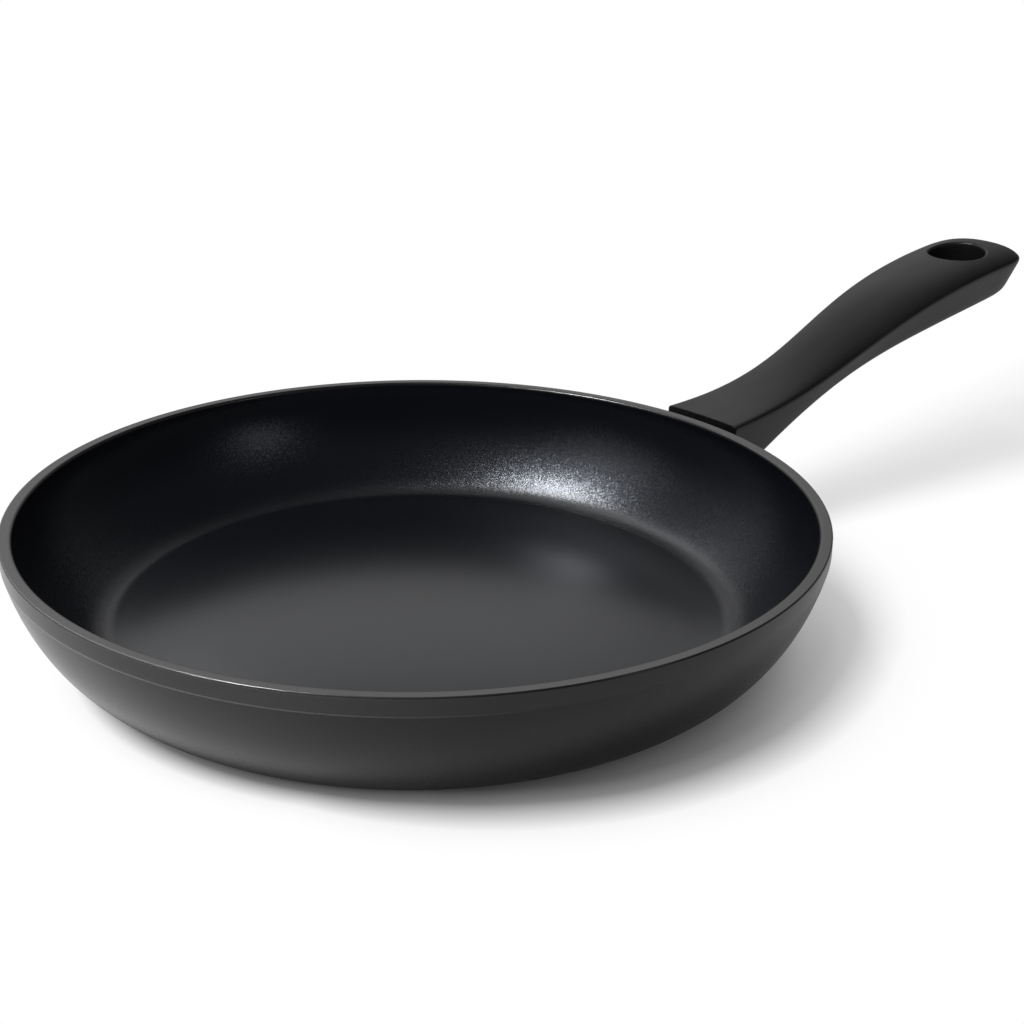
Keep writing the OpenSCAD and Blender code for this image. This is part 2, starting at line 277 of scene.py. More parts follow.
def pick(piece, wanted):
    """Selects the vertices of a piece in edit mode that a test picks out."""
    bpy.ops.mesh.select_mode(type="VERT")
    bpy.ops.mesh.select_all(action="DESELECT")
    mesh = bmesh.from_edit_mesh(piece.data)
    for v in mesh.verts:
        v.select_set(bool(wanted(v.co)))
    mesh.select_flush_mode()
    bmesh.update_edit_mesh(piece.data)


def place_chain(piece, chain, targets):
    """Moves the selected vertices of a chain, one by one, from where they are to their targets."""
    mesh = bmesh.from_edit_mesh(piece.data)
    mesh.verts.index_update()
    chosen = [v for v in mesh.verts if v.select]
    found = [min(chosen, key=lambda v: (v.co - here).length_squared).index for here in chain]
    for index, here, there in zip(found, chain, targets):
        if (there - here).length < 1e-8:
            continue
        mesh = bmesh.from_edit_mesh(piece.data)
        mesh.verts.ensure_lookup_table()
        for v in mesh.verts:
            v.select_set(v.index == index)
        bmesh.update_edit_mesh(piece.data)
        bpy.ops.transform.translate(value=there - here)


def select_chain(piece, points):
    """Selects the edges that join the vertices at these points, one after another."""
    bpy.ops.mesh.select_mode(type="VERT")
    bpy.ops.mesh.select_all(action="DESELECT")
    mesh = bmesh.from_edit_mesh(piece.data)
    found = [min(mesh.verts, key=lambda v: (v.co - p).length_squared) for p in points]
    for a, b in zip(found, found[1:]):
        mesh.edges.get((a, b)).select_set(True)
    bmesh.update_edit_mesh(piece.data)


def finish_with(piece, kind, **values):
    """Adds a modifier and applies it."""
    lay_aside()
    piece.select_set(True)
    bpy.context.view_layer.objects.active = piece
    modifier = piece.modifiers.new(kind.title(), kind)
    for key, value in values.items():
        setattr(modifier, key, value)
    bpy.ops.object.modifier_apply(modifier=modifier.name)


def cut(piece, tool, operation="DIFFERENCE"):
    """Cuts a piece with another, or joins them, and removes the other."""
    finish_with(piece, "BOOLEAN", object=tool, operation=operation, solver="EXACT")
    bpy.data.objects.remove(tool)


def smooth(piece, degrees):
    """Shades a piece smooth up to that angle."""
    lay_aside()
    piece.select_set(True)
    bpy.context.view_layer.objects.active = piece
    bpy.ops.object.shade_smooth_by_angle(angle=math.radians(degrees))


def dress(piece, material, slot, *nodes):
    """Gives a finished piece its material and its body, and hides the CAD nodes that it stands for."""
    piece.data.materials.clear()
    piece.data.materials.append(material)
    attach(piece, "root")
    if nodes:
        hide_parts(*nodes)


def finish_node(name, material):
    """Gives a CAD node that stays as it is its material."""
    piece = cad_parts[name]
    piece.data.materials.clear()
    piece.data.materials.append(material)


# Curves that the pieces follow

def bezier(a, b, c, d, t):
    """A point on a cubic curve."""
    s = 1 - t
    return s ** 3 * a + 3 * s * s * t * b + 3 * s * t * t * c + t ** 3 * d


def wall_curve(start, leave, end, arrive, pulls, steps):
    """A wall from start to end that leaves at one slope and arrives at another."""
    p, q = Vector(start), Vector(end)
    chord = (q - p).length
    b = p + pulls[0] * chord * Vector((math.cos(leave), math.sin(leave)))
    c = q - pulls[1] * chord * Vector((math.cos(arrive), math.sin(arrive)))
    return [tuple(bezier(p, b, c, q, i / steps)) for i in range(steps + 1)]


def arc(centre, radius, start, end, steps):
    """Points round a centre, from one angle to another, in degrees."""
    turns = [math.radians(start + (end - start) * i / steps) for i in range(steps + 1)]
    return [(centre[0] + radius * math.cos(a), centre[1] + radius * math.sin(a)) for a in turns]


def outer_wall(pan, grow=0.0, steps=WALL_STEPS):
    """The outside of the pan from the underside up to the band, grown outwards."""
    return wall_curve((pan.base_radius + grow, 0), pan.heel_angle,
                      (pan.rim_radius - pan.band_step + grow, pan.height - pan.band_height), pan.wall_angle,
                      OUTER_PULLS, steps)


def inner_wall(pan, grow=0.0):
    """The inside of the pan from a cove at the floor's edge up to the mouth, grown into the metal."""
    wall = wall_curve((pan.floor_radius, pan.base_thickness - grow), pan.floor_angle,
                      (pan.rim_radius - pan.rim_width + grow, pan.height - pan.mouth_round), pan.mouth_angle,
                      INNER_PULLS, WALL_STEPS)
    last = next(i for i, p in enumerate(wall) if math.dist(p, wall[0]) > pan.cove)
    end = Vector(wall[last])
    way = Vector(wall[last + 1]) - Vector(wall[last - 1])
    corner = end - way * (end.y - wall[0][1]) / way.y
    start = corner - Vector((pan.cove, 0))
    shares = [i / COVE_STEPS for i in range(COVE_STEPS)]
    cove = [start * (1 - t) ** 2 + corner * 2 * t * (1 - t) + end * t * t for t in shares]
    return [tuple(p) for p in cove] + wall[last:]


# Nodes that the materials are made of

def node(tree, kind, inputs=(), **fields):
    """Adds a node, sets its fields, and fills or links its inputs."""
    made = tree.nodes.new(kind)
    for key, value in fields.items():
        setattr(made, key, value)
    for key, value in dict(inputs).items():
        if isinstance(value, bpy.types.NodeSocket):
            tree.links.new(value, made.inputs[key])
        else:
            made.inputs[key].default_value = value
    return made


def ramp(tree, factor, *stops):
    """A colour ramp with (position, grey or colour) stops."""
    made = node(tree, "ShaderNodeValToRGB", {"Fac": factor})
    points = made.color_ramp.elements
    while len(points) > 1:
        points.remove(points[-1])
    for i, (place, value) in enumerate(stops):
        point = points[0] if i == 0 else points.new(place)
        point.position = place
        point.color = (value,) * 3 + (1,) if isinstance(value, float) else tuple(value) + (1,)
    return made.outputs["Color"]


def number(tree, operation, first, second):
    """A number made from two others."""
    return node(tree, "ShaderNodeMath", {0: first, 1: second}, operation=operation).outputs["Value"]


def vector(tree, operation, first, second=None):
    """A vector made from one or two others, or from one and its scale."""
    inputs = {0: first}
    if second is not None:
        inputs["Scale" if operation == "SCALE" else 1] = second
    return node(tree, "ShaderNodeVectorMath", inputs, operation=operation).outputs["Vector"]


def length(tree, of):
    """How long a vector is."""
    return node(tree, "ShaderNodeVectorMath", {0: of}, operation="LENGTH").outputs["Value"]


def towards(tree, place, way):
    """How far a place lies in a direction."""
    return node(tree, "ShaderNodeVectorMath", {0: place, 1: way}, operation="DOT_PRODUCT").outputs["Value"]


def between(tree, value, low, high, first=0.0, last=1.0):
    """A number that goes from first to last as the value goes from low to high, and no further."""
    return node(tree, "ShaderNodeMapRange", {
        "Value": value, "From Min": low, "From Max": high, "To Min": first, "To Max": last}).outputs["Result"]


def own_place(tree):
    """The place on the piece, in metres."""
    return node(tree, "ShaderNodeTexCoord").outputs["Object"]


def level_part(tree, of):
    """A vector without its height."""
    return vector(tree, "MULTIPLY", of, (1, 1, 0))


def height_of(tree, of):
    """The height in a vector."""
    return node(tree, "ShaderNodeSeparateXYZ", {"Vector": of}).outputs["Z"]


def noise(tree, place, scale, detail):
    """Soft clouds or grain, with so many to the metre."""
    made = node(tree, "ShaderNodeTexNoise", {"Vector": place, "Scale": scale, "Detail": detail})
    return made.outputs["Fac"]


def relief(tree, height, strength, distance):
    """The normal of a surface with a fine relief."""
    made = node(tree, "ShaderNodeBump", {"Height": height, "Strength": strength, "Distance": distance})
    return made.outputs["Normal"]


def shade(rgb, factor):
    """A colour made lighter or darker."""
    return tuple(min(1.0, c * factor) for c in rgb)


def mottled(tree, cloud, rgb, dark, light):
    """A colour that clouds make darker and lighter by these factors."""
    return ramp(tree, cloud, (0.3, shade(rgb, dark)), (0.7, shade(rgb, light)))


def new_tree(name):
    """An empty node material."""
    material = bpy.data.materials.new(name)
    material.use_nodes = True
    material.node_tree.nodes.clear()
    return material, material.node_tree


def surfaced(material, inputs):
    """Closes a material with its surface."""
    surface = node(material.node_tree, "ShaderNodeBsdfPrincipled", inputs)
    node(material.node_tree, "ShaderNodeOutputMaterial", {"Surface": surface.outputs[0]})
    return material


# The materials

def enamel(pan):
    """Satin black finish: faint clouds, a fine orange-peel, a smoother rim and a glint painted on two edges.
    """
    material, tree = new_tree("Satin black enamel")
    place = own_place(tree)
    height = height_of(tree, place)
    cloud = noise(tree, place, 38.0, 4.0)
    tint = mottled(tree, cloud, pan.enamel_colour, 0.86, 1.16)
    rough = ramp(tree, cloud, (0.25, 0.24), (0.75, 0.29))

    # A painted glint: a lighter line along the band's lower edge, and a fainter one along the rim's outer
    # edge
    line_rise, half_line, lip_share = 0.0002, 0.001, 0.42
    band = pan.height - pan.band_height + line_rise
    line = between(tree, height, band - half_line, band + half_line)
    line = ramp(tree, line, (0.3, 0.0), (0.44, 1.0), (0.56, 1.0), (0.7, 0.0))
    reach = length(tree, level_part(tree, place))
    brim = between(tree, reach, pan.rim_radius - 0.0008, pan.rim_radius - 0.0004)
    lip = between(tree, height, pan.height - 0.0009, pan.height - 0.0004, 0.0, lip_share)
    lip = number(tree, "MULTIPLY", lip, brim)
    # The painted glint shows only on the side that faces the lamps
    lit_side = between(tree, towards(tree, place, pan.glint_way), -0.012, 0.14)
    painted_glint = number(tree, "MULTIPLY", number(tree, "MAXIMUM", line, lip), lit_side)
    wear_and_glint = (*pan.glint_colour, 1.0)
    tint = node(tree, "ShaderNodeMix", {0: painted_glint, 6: tint, 7: wear_and_glint}, data_type="RGBA").outputs[2]

    # The gloss, as an index of refraction, grows from the wall over the band to the rim's flat face
    wall_gloss, band_gloss, face_gloss, face_rough = 1.43, 1.56, 1.72, 0.22
    face = between(tree, height, pan.height - 0.00015, pan.height - 0.00003)
    gloss = between(tree, height, band - 0.0002, band + 0.0008, wall_gloss, band_gloss)
    return surfaced(material, {
        "Base Color": tint,
        "Roughness": between(tree, face, 0.0, 1.0, rough, face_rough),
        "IOR": between(tree, face, 0.0, 1.0, gloss, face_gloss),
        "Normal": relief(tree, noise(tree, place, 1700.0, 2.0), 0.10, 0.00012)})


def non_stick(pan):
    """Blue-black coat: tilted flakes break up its highlights, and its floor is shaded as slightly domed."""
    material, tree = new_tree("Blue-black non-stick coat")
    place = own_place(tree)
    height = between(tree, height_of(tree, place), 0.0, pan.height)

    # The flakes lie nearly flat on the floor and are tilted most low on the wall
    flakes_per_metre, middle = 2650.0, (0.5, 0.5, 0.5)
    flake = node(tree, "ShaderNodeTexVoronoi", {"Vector": place, "Scale": flakes_per_metre}).outputs["Color"]
    spread = ramp(tree, height, (0.16, 0.02), (0.175, 0.08), (0.24, 0.116), (0.45, 0.116), (0.7, 0.08))
    tilt = vector(tree, "SCALE", vector(tree, "SUBTRACT", flake, middle), spread)
    flat = level_part(tree, place)
    reach = between(tree, length(tree, flat), 0.0, pan.floor_radius)
    dome = ramp(tree, reach, (0.0, 1.2), (0.55, 1.4), (0.75, 1.45), (0.88, 1.1), (0.95, 0.5), (1.0, 0.0))
    dome = vector(tree, "SCALE", flat, dome)
    facing = vector(tree, "ADD", node(tree, "ShaderNodeNewGeometry").outputs["Normal"], tilt)
    facing = vector(tree, "NORMALIZE", vector(tree, "ADD", facing, dome))

    floor_gloss, mouth_gloss = 1.52, 1.37
    return surfaced(material, {
        "Base Color": mottled(tree, noise(tree, place, 24.0, 3.0), pan.lining_colour, 0.9, 1.12),
        "Roughness": ramp(tree, height, (0.165, 0.25), (0.178, 0.36), (0.21, 0.34), (0.27, 0.28),
                          (0.45, 0.28), (0.7, 0.26)),
        "IOR": between(tree, height, 0.5, 0.72, floor_gloss, mouth_gloss),
        "Specular Tint": ramp(tree, height, (0.17, (0.96, 0.98, 1.0)), (0.3, (0.84, 0.89, 1.0))),
        "Normal": facing})


def moulded_resin(handle):
    """Matt black thermoset moulding: fine spark-eroded grain and slight flow marks."""
    material, tree = new_tree("Matt black moulded resin")
    place = own_place(tree)
    drawn_out = node(tree, "ShaderNodeMapping", {"Vector": place, "Scale": (0.35, 1.0, 1.0)})
    flow = noise(tree, drawn_out.outputs["Vector"], 90.0, 5.0)
    return surfaced(material, {
        "Base Color": mottled(tree, flow, handle.resin_colour, 0.88, 1.14),
        "Roughness": ramp(tree, flow, (0.25, 0.36), (0.75, 0.42)),
        "IOR": 1.37,
        "Normal": relief(tree, noise(tree, place, 2300.0, 2.0), 0.22, 0.00015)})


def turned_metal(name, rgb, centre=(0.0, 0.0, 0.0), pitch=520.0, roughness=0.32):
    """Bare metal with the fine rings that a lathe tool leaves about a centre."""
    material, tree = new_tree(name)
    place = own_place(tree)
    moved = node(tree, "ShaderNodeMapping", {"Vector": place, "Location": tuple(-c for c in centre)})
    rings = node(tree, "ShaderNodeTexWave", {"Vector": moved.outputs["Vector"], "Scale": pitch,
                                             "Distortion": 0.6, "Detail": 2.0, "Detail Scale": 1.5},
                 wave_type="RINGS", rings_direction="Z").outputs["Fac"]
    wear_and_glint = noise(tree, place, 60.0, 5.0)
    return surfaced(material, {
        "Base Color": mottled(tree, wear_and_glint, rgb, 0.86, 1.08),
        "Metallic": 1.0,
        "Roughness": ramp(tree, wear_and_glint, (0.3, roughness), (0.75, roughness + 0.12)),
        "Normal": relief(tree, rings, 0.25, 0.00008)})


def round_the_pan(tree, place, front_way):
    """Makes the function that gives a value for each direction from the pan.

    The degrees go anticlockwise from 70, straight behind the pan, by 250, its front, to 430, behind it again.
    From 385 on the value goes back to its first, so that the circle closes without a step."""
    front = towards(tree, place, front_way)
    right = towards(tree, place, (-front_way[1], front_way[0], 0))
    turn_share = between(tree, number(tree, "ARCTAN2", right, front), -math.pi, math.pi)
    first, last, closing = 70, 430, 385

    def by_way(*stops):
        """A value that changes round the pan, from (degrees, value) stops."""
        stops += (closing, stops[-1][1]), (last, stops[0][1])
        return ramp(tree, turn_share, *(((way - first) / (last - first), value) for way, value in stops))

    return by_way


def studio_floor(studio):
    """White floor that fades into the white room, with a soft shadow round the pan and under the handle."""
    material, tree = new_tree("White studio floor")
    place = own_place(tree)
    reach = length(tree, place)
    rays = node(tree, "ShaderNodeLightPath").outputs
    mirrored = number(tree, "MAXIMUM", rays["Is Glossy Ray"], rays["Is Transmission Ray"])
    shown = number(tree, "MAXIMUM", rays["Is Camera Ray"], mirrored)

    # Round the pan: how far its shadow reaches from its axis, how soft the shadow's edge is, how white the
    # floor stays in the shadow, and how much of the white floor shows in reflections
    by_way = round_the_pan(tree, place, studio.front_way)
    shadow_edge = by_way((150, 0.1172), (214, 0.1177), (230, 0.1222), (246, 0.1284), (262, 0.1356),
                         (278, 0.142), (294, 0.149), (302, 0.153), (310, 0.158), (334, 0.175), (342, 0.179),
                         (350, 0.18))
    softness = by_way((150, 0.008), (214, 0.009), (230, 0.014), (246, 0.016), (262, 0.016), (278, 0.0175),
                      (310, 0.018), (326, 0.02), (350, 0.026))
    shadow_white = by_way((262, 0.0), (278, 0.03), (286, 0.1), (294, 0.18), (302, 0.24), (310, 0.28),
                          (326, 0.34), (350, 0.4))
    mirror_white = by_way((150, 1.0), (202, 1.0), (210, 0.92), (234, 0.62), (242, 0.56), (250, 0.53),
                          (266, 0.48), (290, 0.48), (298, 0.51), (306, 0.56), (322, 0.56), (350, 0.5))

    # In reflections the shadow reaches this much farther
    mirror_shift = 0.0064
    past_edge = number(tree, "SUBTRACT", reach, shadow_edge)
    past_edge = number(tree, "SUBTRACT", past_edge, number(tree, "MULTIPLY", mirrored, mirror_shift))
    lit = between(tree, number(tree, "DIVIDE", past_edge, softness), -1.0, 1.5)
    lit = ramp(tree, lit, (0.0, 0.0), (0.2, 0.1), (0.4, 0.5), (0.6, 0.9), (0.8, 0.97), (1.0, 1.0))
    near = ramp(tree, reach, (0.117, 0.0), (0.125, 0.3), (0.134, 0.7), (0.15, 1.0))
    white_share = between(tree, lit, 0.0, 1.0, number(tree, "MULTIPLY", near, shadow_white), 1.0)

    # The handle's shadow is a narrow wedge, given by the cosine of the angle to its middle
    handle_side = number(tree, "DIVIDE", towards(tree, place, studio.shadow_way), reach)
    under_handle = between(tree, handle_side, 0.988, 0.998, 1.0, 0.62)
    white_share = number(tree, "MULTIPLY", white_share, under_handle)
    # The floor fades into the white room between these distances
    fade_start, fade_end = 0.36, 0.85
    white_share = number(tree, "MAXIMUM", white_share, between(tree, reach, fade_start, fade_end))
    white_share = number(tree, "MULTIPLY", white_share, shown)
    dark_share = number(tree, "MULTIPLY", number(tree, "SUBTRACT", 1.0, mirror_white), mirrored)

    tint = mottled(tree, noise(tree, place, 9.0, 3.0), studio.floor_colour, 0.995, 1.005)
    paper = node(tree, "ShaderNodeBsdfDiffuse", {"Color": tint})
    white = node(tree, "ShaderNodeEmission", {"Color": (1, 1, 1, 1), "Strength": 1.0})
    dark = node(tree, "ShaderNodeEmission", {"Color": (0, 0, 0, 1), "Strength": 0.0})
    mixed = node(tree, "ShaderNodeMixShader", {0: white_share, 1: paper.outputs[0], 2: white.outputs[0]})
    mixed = node(tree, "ShaderNodeMixShader", {0: dark_share, 1: mixed.outputs[0], 2: dark.outputs[0]})
    node(tree, "ShaderNodeOutputMaterial", {"Surface": mixed.outputs[0]})
    return material


def white_room(studio):
    """The room: white to the camera, soft to matt surfaces, and a lit backdrop in the dark to highlights."""
    world = bpy.data.worlds.new("White room")
    world.use_nodes = True
    tree = world.node_tree
    tree.nodes.clear()
    way = node(tree, "ShaderNodeTexCoord").outputs["Generated"]
    height = height_of(tree, way)
    # Ahead is 1 straight towards the backdrop and 0 beside it
    ahead = towards(tree, vector(tree, "NORMALIZE", level_part(tree, way)), studio.backdrop_way)
    backdrop = ramp(tree, height, (0.0, 0.18), (0.1, 0.28), (0.2, 0.38), (0.3, 0.52), (0.38, 0.68),
                    (0.45, 0.84), (0.52, 0.92), (0.58, 0.9), (0.64, 0.66), (0.7, 0.38), (0.78, 0.13),
                    (0.86, 0.06))
    elsewhere = ramp(tree, height, (0.0, 0.3), (0.06, 0.2), (0.14, 0.11), (0.26, 0.07),
                     (0.5, studio.ceiling_level))
    backdrop_share = ramp(tree, ahead, (0.4, 0.0), (0.52, 0.14), (0.68, 0.27), (0.8, 0.56), (0.906, 1.0))
    shown = between(tree, backdrop_share, 0.0, 1.0, elsewhere, backdrop)
    rays = node(tree, "ShaderNodeLightPath").outputs
    level = between(tree, rays["Is Glossy Ray"], 0.0, 1.0, studio.world_level, shown)
    straight = number(tree, "MAXIMUM", rays["Is Camera Ray"], rays["Is Transmission Ray"])
    level = between(tree, straight, 0.0, 1.0, level, 1.0)
    room = node(tree, "ShaderNodeBackground", {"Color": (1, 1, 1, 1), "Strength": level})
    node(tree, "ShaderNodeOutputWorld", {"Surface": room.outputs[0]})
    return world


# The pan

def cylinder(name, radius, low, high, centre, sides):
    """A plain cylinder between two heights, with its place in its mesh, to cut with."""
    lay_aside()
    bpy.ops.mesh.primitive_cylinder_add(vertices=sides, radius=radius, depth=high - low, location=(0, 0, 0))
    piece = name_piece(name)
    bpy.ops.object.mode_set(mode="EDIT")
    bpy.ops.mesh.select_all(action="SELECT")
    bpy.ops.transform.translate(value=(centre[0], centre[1], (low + high) / 2))
    bpy.ops.object.mode_set(mode="OBJECT")
    return piece


def tapered_block(name, start, end, width, taper, low, high):
    """A block along X between two heights, narrower at its far end by that factor, left in edit mode."""
    lay_aside()
    bpy.ops.mesh.primitive_cube_add(size=1, location=(0, 0, 0))
    piece = name_piece(name)
    middle = Vector(((start + end) / 2, 0, (low + high) / 2))
    bpy.ops.object.mode_set(mode="EDIT")
    bpy.ops.mesh.select_all(action="SELECT")
    bpy.ops.transform.resize(value=(end - start, width, high - low))
    bpy.ops.transform.translate(value=middle)
    pick(piece, lambda co: co.x > middle.x)
    bpy.ops.transform.resize(value=(1, taper, 1), center_override=(end, 0, middle.z))
    return piece


class PAN_OT_body(bpy.types.Operator):
    """Turns the cast pan with its rim, band and heel, and joins the handle's lug to it"""

    bl_idname = "pan.body"
    bl_label = "Cast body"

    # The step under the band, as (share of the step that is left, height above the band's lower edge)
    band_turn = (1.0, 0.0), (0.4, 0.0005), (0.0, 0.0012)
    # Points round the rim's outer and inner edge
    rim_steps, mouth_steps = 8, 10
    # How far inside the rim's outer edge the lug starts, as a share of the rim's width
    lug_root_share = 0.84

    def execute(self, context):
        pan, _, fixing, _ = settings(context)
        rim, top, soft, bevel = pan.rim_radius, pan.height, pan.rim_round, pan.mouth_round
        mouth, band, plate = rim - pan.rim_width, top - pan.band_height, pan.plate_radius
        profile = [(0, pan.plate_thickness), (plate, pan.plate_thickness), (plate, EDGE_LINE),
                   (plate + EDGE_LINE, 0), (pan.base_radius - EDGE_LINE, 0)]
        profile += [(r, z) for r, z in outer_wall(pan)[1:] if z < band - EDGE_LINE]
        profile += [(rim - left * pan.band_step, band + rise) for left, rise in self.band_turn]
        profile += [(rim, top - soft - EDGE_LINE)]
        profile += arc((rim - soft, top - soft), soft, 0, 90, self.rim_steps)
        profile += [(rim - soft - EDGE_LINE / 2, top), (mouth + bevel + EDGE_LINE / 2, top)]
        profile += arc((mouth + bevel, top - bevel), bevel, 90, 180, self.mouth_steps)
        profile += reversed(inner_wall(pan, pan.lining_thickness))
        profile += [(0, pan.base_thickness - pan.lining_thickness)]
        body = turn("cast_body", profile, TURN_STEPS)
        cut(body, self.cast_lug(pan, fixing), "UNION")
        smooth(body, 28)
        dress(body, enamel(pan), "pan_metal", "pan_body")
        return {"FINISHED"}

    def cast_lug(self, pan, fixing):
        """The lug that the handle is screwed to, with rounded corners and the bore of the insert."""
        high = pan.height - fixing.lug_drop
        low = high - fixing.lug_thickness
        root, tip = pan.rim_radius - self.lug_root_share * pan.rim_width, pan.rim_radius + fixing.lug_length
        lug = tapered_block("cast_lug", root, tip, fixing.lug_width, fixing.lug_tip_width / fixing.lug_width,
                            low, high)
        bpy.ops.mesh.select_mode(type="EDGE")
        mesh = bmesh.from_edit_mesh(lug.data)
        for e in mesh.edges:
            upright = abs(e.verts[0].co.z - e.verts[1].co.z) > fixing.lug_thickness / 2
            e.select_set(upright and e.verts[0].co.x > (tip + root) / 2)
        bmesh.update_edit_mesh(lug.data)
        bpy.ops.mesh.bevel(offset=fixing.lug_tip_width / 4, segments=6, affect="EDGES")
        bpy.ops.object.mode_set(mode="OBJECT")
        cut(lug, cylinder("lug_bore", fixing.insert_radius, low - OVERRUN, high + OVERRUN,
                          (pan.rim_radius + fixing.screw_back, 0), 48))
        return lug


class PAN_OT_lining(bpy.types.Operator):
    """Turns the bonded non-stick lining of the cooking surface"""

    bl_idname = "pan.lining"
    bl_label = "Non-stick lining"

    def execute(self, context):
        pan = settings(context)[0]
        front, back = inner_wall(pan), inner_wall(pan, pan.lining_thickness)
        profile = [(0, pan.base_thickness)] + front + back[::-1]
        profile += [(0, pan.base_thickness - pan.lining_thickness)]
        lining = turn("non_stick_lining", profile, TURN_STEPS)
        smooth(lining, 40)
        dress(lining, non_stick(pan), "lining", "nonstick_lining")
        return {"FINISHED"}


class PAN_OT_base(bpy.types.Operator):
    """Finishes the steel base plate and sets the cast dots in its holes"""

    bl_idname = "pan.base"
    bl_label = "Base plate and dots"

    def execute(self, context):
        pan = settings(context)[0]
        dot = {"vertices": 24, "radius": pan.dot_radius, "depth": pan.plate_thickness, "location": (0, 0, 0)}
        lay_aside()
        bpy.ops.mesh.primitive_cylinder_add(**dot)
        dots = name_piece("base_dots")
        bpy.ops.object.mode_set(mode="EDIT")
        bpy.ops.mesh.delete(type="VERT")
        for ring in range(pan.dot_rings):
            count = pan.dot_count + ring * pan.dot_count_step
            bpy.ops.mesh.select_all(action="DESELECT")
            bpy.ops.mesh.primitive_cylinder_add(**dot)
            first = math.pi * ring / count
            reach = pan.dot_ring_radius + ring * pan.dot_ring_pitch
            bpy.ops.transform.translate(value=(reach * math.cos(first), reach * math.sin(first),
                                               pan.plate_thickness / 2))
            bpy.ops.mesh.spin(steps=count - 1, dupli=True, angle=2 * math.pi * (count - 1) / count,
                              center=(0, 0, 0), axis=(0, 0, 1))
        bpy.ops.object.mode_set(mode="OBJECT")
        smooth(dots, 30)
        dress(dots, turned_metal("Bare cast metal dots", pan.metal_colour, roughness=0.36), "pan_metal",
              "pan_body")
        finish_node("induction_plate", turned_metal("Turned steel plate", pan.steel_colour))
        return {"FINISHED"}


# The handle

class HandleShape:
    """The handle's lines, as its solid has them: top edge, width, depth and crown along its length."""

    # Where the two middle controls of the stem lie, as a share of its length
    stem_share = 0.42
    # Heights of the two middle controls of the top line, as shares of the rise
    rise_shares = 0.037, 0.872
    # Curve parameter at which the neck's width and depth hold
    neck_share = 0.3
    # Pull of the palm's width and depth, as shares of their values at the tip
    palm_width_share, palm_depth_share = 1.042, 1.59
    # Exponent of the crowned top, and the places of its points, as shares of the half width
    crown_power, crown_places = 3, (0, 0.36, 0.68)
    # The most of the half width and of the side that a rounded corner may take
    top_corner_share, side_corner_share = 0.4, 0.3
    # How far the lower edge hangs under the side
    keel_drop = 0.0001
    # The underside's point between that edge and the middle, as shares of the edge's place and of the bulge
    belly_place, belly_share = 0.5, 0.8
    # Length from the root over which the sections lean forward
    lean_length = 0.05

    def __init__(self, pan, handle):
        self.pan, self.h = pan, handle
        self.root_x = pan.rim_radius + handle.root_gap
        self.tip_x = self.root_x + handle.length
        self.bend_x = self.tip_x - handle.end_length
        self.wall = outer_wall(pan, handle.root_gap, 60)

    def along(self, x):
        """The curve parameter at which the stem reaches x, found by halving."""
        low, high = -0.2, 1.0
        pull = self.root_x + self.stem_share * self.h.length
        for _ in range(28):
            t = (low + high) / 2
            if bezier(self.root_x, pull, pull, self.tip_x, t) > x:
                high = t
            else:
                low = t
        return max(t, 0.0)

    def held(self, root, neck, palm, tip, t):
        """A value that has its root, neck and tip values, with a pull towards the palm."""
        n, m = self.neck_share, 1 - self.neck_share
        control = (neck - m ** 3 * root - 3 * m * n * n * palm - n ** 3 * tip) / (3 * m ** 2 * n)
        return bezier(root, control, palm, tip, t)

    def top(self, t):
        """Height of the top edges."""
        z, rise = self.pan.height + self.h.proud, self.h.rise
        return bezier(z, *(z + share * rise for share in self.rise_shares), z + rise, t)

    def half_width(self, t):
        """Half the width at the shoulders."""
        h, palm = self.h, self.palm_width_share * self.h.palm_width
        return self.held(h.root_width, h.neck_width, palm, h.palm_width, t) / 2

    def depth(self, t):
        """Depth of the side."""
        h, palm = self.h, self.palm_depth_share * self.h.palm_depth
        return self.held(h.root_depth, h.neck_depth, palm, h.palm_depth, t)

    def crown(self, t):
        """Height of the crowned top over its edges."""
        return self.h.root_crown + (self.h.palm_crown - self.h.root_crown) * t

    def front(self, z):
        """Where the handle's front face stands at a height: the wall's slope, set back by the gap."""
        for (r0, z0), (r1, z1) in zip(self.wall, self.wall[1:]):
            if z <= z1:
                return r0 + (r1 - r0) * (z - z0) / (z1 - z0)
        return self.root_x

    def half_ring(self, x, f=1.0):
        """The eleven points of half a section at x, from the top's middle to the underside's, shrunk by f."""
        h, t = self.h, self.along(x)
        w, c = self.half_width(t) * f, self.crown(t) * f
        d = self.depth(t) * (1 - h.end_lift * (1 - f))
        zero = self.top(t) - self.crown(t) * (1 - f) / 2
        keel_y = h.keel_share * w
        side = Vector((keel_y - w, -d))
        reach = side.length
        side.normalize()
        near = min(h.shoulder, w * self.top_corner_share, reach * self.side_corner_share)
        low = min(h.keel, reach * self.side_corner_share)
        sag = h.belly * w / self.half_width(1.0)
        crown = [(y, c * (1 - (y / w) ** self.crown_power))
                 for y in (*(place * w for place in self.crown_places), w - near, w)]
        flank = [(w + side.x * down, side.y * down) for down in (near, (near + reach - low) / 2)]
        keel = [(keel_y - side.x * low, -d - side.y * low), (keel_y, -d - self.keel_drop),
                (keel_y * self.belly_place, -d - sag * self.belly_share), (0, -d - sag)]
        return [Vector((x, y, zero + z)) for y, z in crown + flank + keel]

    def leaning_ring(self, x):
        """Half a section near the root, whose points lean forward to follow the front face."""
        lean = max(0.0, 1 - (x - self.root_x) / self.lean_length)
        made = []
        for i in range(len(self.half_ring(x))):
            at = x
            for _ in range(8):
                point = self.half_ring(at)[i]
                at = x + lean * (self.front(point.z) - self.root_x)
            made.append(self.half_ring(at)[i])
        return made


